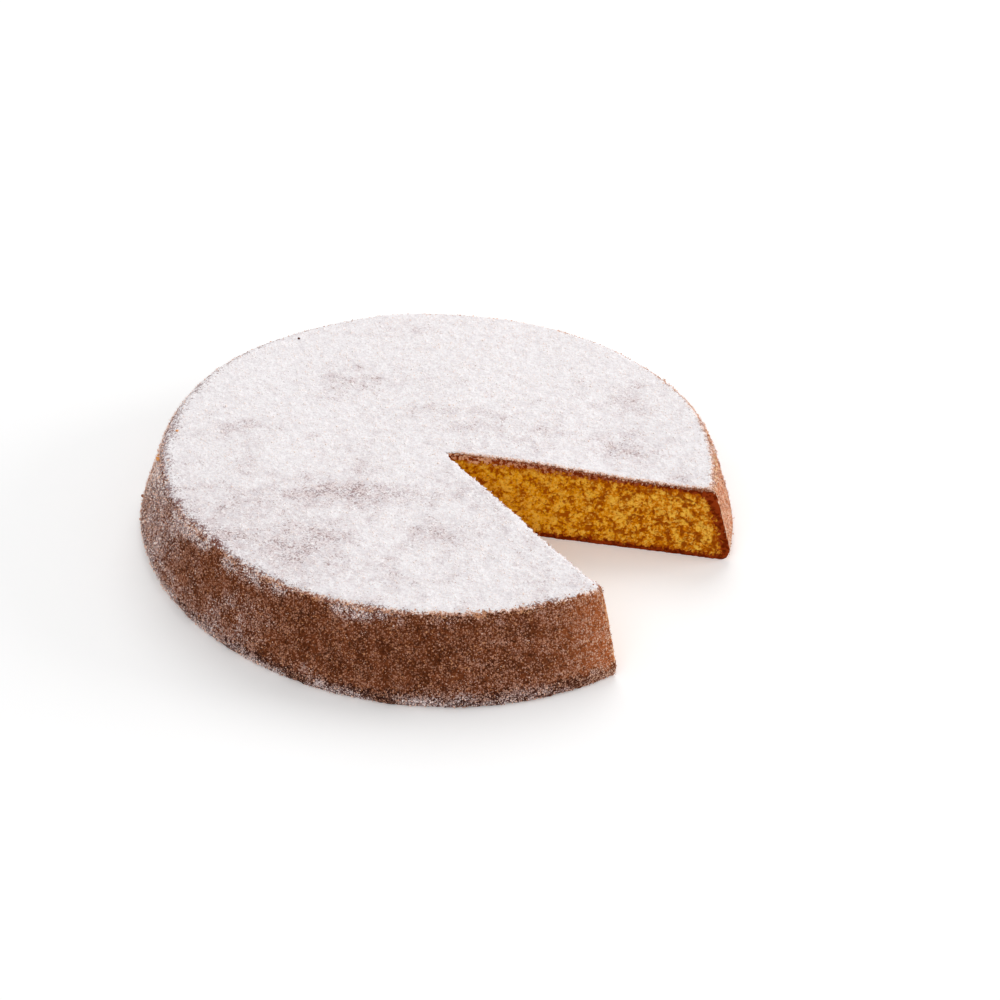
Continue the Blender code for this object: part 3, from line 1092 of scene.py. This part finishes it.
def top_grains(surface, finish):
    """Clumps of icing sugar lying on the coat."""
    chance = np.random.default_rng(23)
    above = surface["above"]
    thin, bare = surface["values"]["thin"], surface["values"]["bare"]
    clusters = eased(rough(above, 4 * MM, shift=18.4), -0.3, 0.6)
    picked = chosen(chance, (1.1 - thin) * (1.1 - bare) * (0.15 + clusters), TOP_CLUMPS)
    places = above[picked] + chance.normal(0, 0.2 * MM, (len(picked), 3)) * np.array([1, 1, 0])
    widths = chance.gamma(3.0, 0.12 * MM, len(picked)) + 0.2 * MM
    places[:, 2] += widths * LIFTED
    tints = np.clip(chance.normal(1.0, 0.04, len(picked)), 0, 1)
    return scattered("top_sugar", places, widths, GRAIN_CORNERS, GRAIN_FACES, chance, finish, tints)


def ball_corners():
    """The twelve corners and twenty faces of a rough little ball."""
    golden = (1 + math.sqrt(5)) / 2
    corners = []
    for one in (-1, 1):
        for other in (-golden, golden):
            corners += [(0, one, other), (one, other, 0), (other, 0, one)]
    corners = np.array(corners) / math.hypot(1, golden)
    apart = np.linalg.norm(corners[:, None] - corners[None], axis=2)
    side = np.min(apart[apart > 0.1])
    near = (apart > 0.1) & (apart < side * 1.1)
    faces = []
    for first in range(12):
        for second in range(first + 1, 12):
            for third in range(second + 1, 12):
                if near[first, second] and near[second, third] and near[first, third]:
                    order = [first, second, third]
                    across = np.cross(corners[second] - corners[first], corners[third] - corners[first])
                    if across @ corners[first] < 0:
                        order.reverse()
                    faces.append(order)
    return corners, np.array(faces)


def edge_crumbs(wall, cuts, finish):
    """Crumbs on the rim, where the crust is rubbed, along the edges of the cuts, and a few lone ones."""
    chance = np.random.default_rng(37)
    rim = wall["height"] > HEIGHT - 2.2 * MM
    points, out = wall["points"][rim], wall["out"][rim]
    picked = chosen(chance, 0.03 + wall["worn"][rim], RIM_CRUMBS)
    outermost = [0, 1, -2, -1]
    corner_points = wall["points"][outermost].reshape(-1, 3)
    corner_out = wall["out"][outermost].reshape(-1, 3)
    at_corner = chance.integers(0, len(corner_points), CORNER_CRUMBS)
    edge_points, edge_out, down = cut_edge(cuts, 1.1 * MM)
    on_edge = chosen(chance, 1 - down / (1.8 * MM), CUT_EDGE_CRUMBS)
    places = np.concatenate([points[picked], corner_points[at_corner], edge_points[on_edge]])
    out = np.concatenate([out[picked], corner_out[at_corner], edge_out[on_edge]])
    places = places + chance.normal(0, STRAY, places.shape)
    widths = chance.gamma(3.0, 0.08 * MM, len(places)) + 0.2 * MM
    widths[len(picked) : len(picked) + len(at_corner)] *= 0.6
    places = lifted(places, out, widths)
    tints = chance.normal(0.66, 0.2, len(places))
    tints[len(picked) + len(at_corner) :] -= 0.3
    tints = np.clip(tints, 0, 0.85)

    lone = np.array(LONE_CRUMBS)
    places = np.concatenate([places, lone[:, :3] * MM])
    widths = np.concatenate([widths, lone[:, 3] * MM])
    tints = np.concatenate([tints, lone[:, 4]])
    corners, faces = ball_corners()
    return scattered("loose_crumbs", places, widths, corners, faces, chance, finish, tints)


# -------- table, light and camera


def table_finish():
    finish = Finish("pale_table", specular=0.1)
    finish.set("Base Color", (0.93, 0.93, 0.93, 1.0))
    finish.set("Roughness", 0.9)
    finish.set("Emission Color", (1.0, 1.0, 1.0, 1.0))
    finish.set("Emission Strength", 0.14)
    return finish.material


TABLE_REACH = 8.0


def make_table():
    corners = TABLE_REACH * np.array([[-1, -1, 0], [1, -1, 0], [1, 1, 0], [-1, 1, 0]])
    corners[:, 2] = cad_low.z
    table = mesh_piece("table", corners, [[0, 1, 2, 3]], [table_finish()])


# The lamps, all turned to the cake: (name, place, how wide, power).
LAMPS = (
    ("high_behind", (0.1, 1.2, 1.4), 1.3, 12.0),
    ("right_side", (1.7, 0.2, 0.5), 1.0, 14.0),
    ("front_fill", (-0.35, -1.1, 1.15), 1.0, 5.0),
)
ROOM_LIGHT = 0.51


def light_scene():
    world = bpy.data.worlds.new("soft_room")
    world.use_nodes = True
    background = world.node_tree.nodes["Background"]
    background.inputs["Color"].default_value = (1.0, 1.0, 1.0, 1.0)
    background.inputs["Strength"].default_value = ROOM_LIGHT
    bpy.context.scene.world = world
    for name, place, across, power in LAMPS:
        lamp = bpy.data.lights.new(name, "AREA")
        lamp.shape = "DISK"
        lamp.size = across
        lamp.energy = power
        holder = bpy.data.objects.new(name, lamp)
        holder.location = place
        holder.rotation_euler = (-Vector(place)).to_track_quat("-Z", "Y").to_euler()
        bpy.context.scene.collection.objects.link(holder)
    bpy.context.scene.view_settings.view_transform = "Standard"


CAMERA_PLACE = Vector((0.9, -928.5, 639.3)) * MM
CAMERA_AIM = Vector((25.8, 18.4, 0.0)) * MM
CAMERA_ROLL = radians(1.27)


def make_camera():
    view = bpy.data.cameras.new("camera")
    view.lens = 100.0
    view.sensor_width = 36.0
    camera = bpy.data.objects.new("camera", view)
    camera.location = CAMERA_PLACE
    camera.rotation_mode = "QUATERNION"
    level = (CAMERA_AIM - CAMERA_PLACE).to_track_quat("-Z", "Y")
    camera.rotation_quaternion = level @ Quaternion((0, 0, 1), CAMERA_ROLL)
    bpy.context.scene.collection.objects.link(camera)
    bpy.context.scene.camera = camera


def place_on_cake(piece):
    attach(piece, "root")
    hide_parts("cake")


def main():
    make_camera()
    light_scene()
    make_table()
    wall = wall_surface()
    cuts = {side: cut_surface(side) for side in CUTS}
    sugar_top = sugar_surface()
    grains = grain_finish()
    place_on_cake(cake_body(wall, cuts, crust_finish(), crumb_finish()))
    place_on_cake(sugar_coat(sugar_top, sugar_finish()))
    place_on_cake(wall_grains(wall, cuts, grains))
    place_on_cake(top_grains(sugar_top, grains))
    place_on_cake(edge_crumbs(wall, cuts, loose_crumb_finish()))


main()
